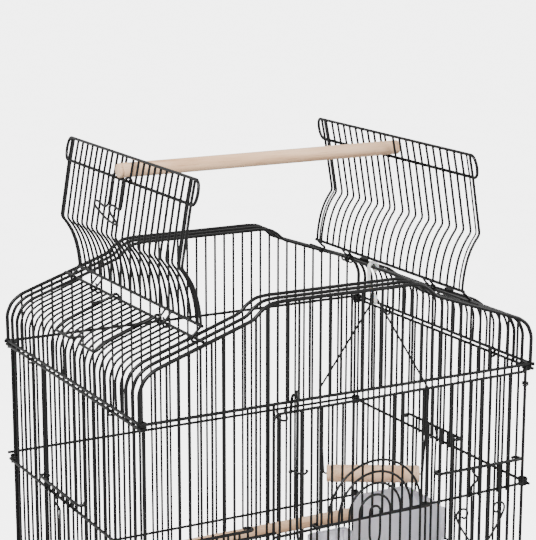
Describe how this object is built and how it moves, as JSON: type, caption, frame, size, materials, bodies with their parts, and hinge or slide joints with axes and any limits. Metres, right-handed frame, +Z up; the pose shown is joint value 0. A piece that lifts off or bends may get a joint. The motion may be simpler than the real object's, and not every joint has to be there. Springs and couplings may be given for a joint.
{
  "type": "bird cage",
  "caption": "Open play-top bird cage of welded black wire with wood perches, swing, feeder cups and sliding doors, on a rolling stand with a shelf.",
  "frame": {"origin": "centre of the footprint on the floor", "axes": "+Z up, -Y towards the front with the main door, +X to the right when facing the front from outside"},
  "size_m": [0.49, 0.39, 1.7445],
  "materials": {
    "black_coat": "satin",
    "wood": "matte",
    "cup_plastic": "satin",
    "white_plastic": "satin",
    "tray_plastic": "satin",
    "rubber": "matte",
    "caster_plastic": "satin"
  },
  "bodies": {
    "cage": {"wall_front_beside_door": "black_coat", "wall_front_below_door": "black_coat", "door_post": "black_coat", "hinge_eye_upper": "black_coat", "hinge_eye_lower": "black_coat", "wall_back": "black_coat", "wall_left": "black_coat", "wall_right": "black_coat", "gable_front": "black_coat", "gable_back": "black_coat", "roof_left": "black_coat", "roof_right": "black_coat", "swing_hook": "white_plastic", "cup_back": "cup_plastic", "cup_left": "cup_plastic", "cup_right": "cup_plastic", "perch_upper": "wood", "perch_lower": "wood", "base_housing": "black_coat", "leg_front_left": "black_coat", "leg_front_right": "black_coat", "leg_back_left": "black_coat", "leg_back_right": "black_coat", "stand_ring": "black_coat", "shelf": "black_coat"},
    "top_door_left": {"top_door_left": "black_coat", "top_door_left_stile_front": "black_coat", "top_door_left_stile_back": "black_coat", "top_door_left_rail_front": "black_coat", "top_door_left_rail_back": "black_coat", "top_door_left_rail_middle": "black_coat"},
    "top_door_right": {"top_door_right": "black_coat", "top_door_right_stile_front": "black_coat", "top_door_right_stile_back": "black_coat", "top_door_right_rail_front": "black_coat", "top_door_right_rail_back": "black_coat", "top_door_right_rail_middle": "black_coat"},
    "top_latch": {"top_latch": "black_coat"},
    "stay_left": {"stay_left": "black_coat"},
    "stay_right": {"stay_right": "black_coat"},
    "play_perch": {"play_perch": "wood"},
    "front_door": {"front_door": "black_coat"},
    "inner_door": {"inner_door": "black_coat"},
    "door_latch": {"door_latch": "black_coat"},
    "feeder_door_front_left": {"feeder_door_front_left": "black_coat"},
    "feeder_door_front_right": {"feeder_door_front_right": "black_coat"},
    "feeder_door_left": {"feeder_door_left": "black_coat"},
    "feeder_door_right": {"feeder_door_right": "black_coat"},
    "tray": {"tray": "tray_plastic"},
    "grate": {"grate": "black_coat"},
    "swing": {"swing_wire": "black_coat", "swing_bar": "wood"},
    "caster_front_left": {"caster_fork_front_left": "caster_plastic"},
    "wheel_front_left": {"caster_wheel_front_left": "rubber"},
    "caster_front_right": {"caster_fork_front_right": "caster_plastic"},
    "wheel_front_right": {"caster_wheel_front_right": "rubber"},
    "caster_back_left": {"caster_fork_back_left": "caster_plastic"},
    "wheel_back_left": {"caster_wheel_back_left": "rubber"},
    "caster_back_right": {"caster_fork_back_right": "caster_plastic"},
    "wheel_back_right": {"caster_wheel_back_right": "rubber"}
  },
  "joints": [
    {"name": "top_door_left_hinge", "type": "hinge", "parent": "cage", "child": "top_door_left", "pos_m": [-0.1625, 0, 1.5835], "axis": [0, -1, 0], "range_deg": [0, 70]},
    {"name": "top_door_right_hinge", "type": "hinge", "parent": "cage", "child": "top_door_right", "pos_m": [0.1625, 0, 1.5835], "axis": [0, 1, 0], "range_deg": [0, 70]},
    {"name": "top_latch_hinge", "type": "hinge", "parent": "top_door_left", "child": "top_latch", "pos_m": [-0.166, 0, 1.718], "axis": [0, 1, 0], "range_deg": [0, 50]},
    {"name": "stay_left_hinge", "type": "hinge", "parent": "cage", "child": "stay_left", "pos_m": [-0.1625, 0, 1.5835], "axis": [0, 1, 0], "range_deg": [0, 15]},
    {"name": "stay_right_hinge", "type": "hinge", "parent": "cage", "child": "stay_right", "pos_m": [0.1625, 0, 1.5835], "axis": [0, -1, 0], "range_deg": [0, 15]},
    {"name": "play_perch_turn", "type": "hinge", "parent": "cage", "child": "play_perch", "pos_m": [0, 0, 1.7284], "axis": [1, 0, 0], "continuous": true},
    {"name": "swing_hinge", "type": "hinge", "parent": "cage", "child": "swing", "pos_m": [0.1665, 0.032, 1.5453], "axis": [0.866, -0.5, 0], "range_deg": [-8, 5]},
    {"name": "front_door_hinge", "type": "hinge", "parent": "cage", "child": "front_door", "pos_m": [0.224, -0.185, 1.372], "axis": [0, 0, 1], "range_deg": [0, 110]},
    {"name": "inner_door_slide", "type": "slide", "parent": "front_door", "child": "inner_door", "axis": [0, 0, 1], "range_m": [0, 0.1]},
    {"name": "door_latch_slide", "type": "slide", "parent": "front_door", "child": "door_latch", "axis": [0, 0, 1], "range_m": [0, 0.012]},
    {"name": "feeder_front_left_slide", "type": "slide", "parent": "cage", "child": "feeder_door_front_left", "axis": [0, 0, 1], "range_m": [0, 0.11]},
    {"name": "feeder_front_right_slide", "type": "slide", "parent": "front_door", "child": "feeder_door_front_right", "axis": [0, 0, 1], "range_m": [0, 0.07]},
    {"name": "feeder_left_slide", "type": "slide", "parent": "cage", "child": "feeder_door_left", "axis": [0, 0, 1], "range_m": [0, 0.11]},
    {"name": "feeder_right_slide", "type": "slide", "parent": "cage", "child": "feeder_door_right", "axis": [0, 0, 1], "range_m": [0, 0.11]},
    {"name": "tray_slide", "type": "slide", "parent": "cage", "child": "tray", "axis": [0, -1, 0], "range_m": [0, 0.3]},
    {"name": "grate_slide", "type": "slide", "parent": "cage", "child": "grate", "axis": [0, -1, 0], "range_m": [0, 0.3]},
    {"name": "swivel_front_left", "type": "hinge", "parent": "cage", "child": "caster_front_left", "pos_m": [-0.2215, -0.1715, 0.059], "axis": [0, 0, 1], "continuous": true},
    {"name": "spin_front_left", "type": "hinge", "parent": "caster_front_left", "child": "wheel_front_left", "pos_m": [-0.2095, -0.1715, 0.025], "axis": [0, 1, 0], "continuous": true},
    {"name": "swivel_front_right", "type": "hinge", "parent": "cage", "child": "caster_front_right", "pos_m": [0.2215, -0.1715, 0.059], "axis": [0, 0, 1], "continuous": true},
    {"name": "spin_front_right", "type": "hinge", "parent": "caster_front_right", "child": "wheel_front_right", "pos_m": [0.2095, -0.1715, 0.025], "axis": [0, 1, 0], "continuous": true},
    {"name": "swivel_back_left", "type": "hinge", "parent": "cage", "child": "caster_back_left", "pos_m": [-0.2215, 0.1715, 0.059], "axis": [0, 0, 1], "continuous": true},
    {"name": "spin_back_left", "type": "hinge", "parent": "caster_back_left", "child": "wheel_back_left", "pos_m": [-0.2095, 0.1715, 0.025], "axis": [0, 1, 0], "continuous": true},
    {"name": "swivel_back_right", "type": "hinge", "parent": "cage", "child": "caster_back_right", "pos_m": [0.2215, 0.1715, 0.059], "axis": [0, 0, 1], "continuous": true},
    {"name": "spin_back_right", "type": "hinge", "parent": "caster_back_right", "child": "wheel_back_right", "pos_m": [0.2095, 0.1715, 0.025], "axis": [0, 1, 0], "continuous": true}
  ]
}
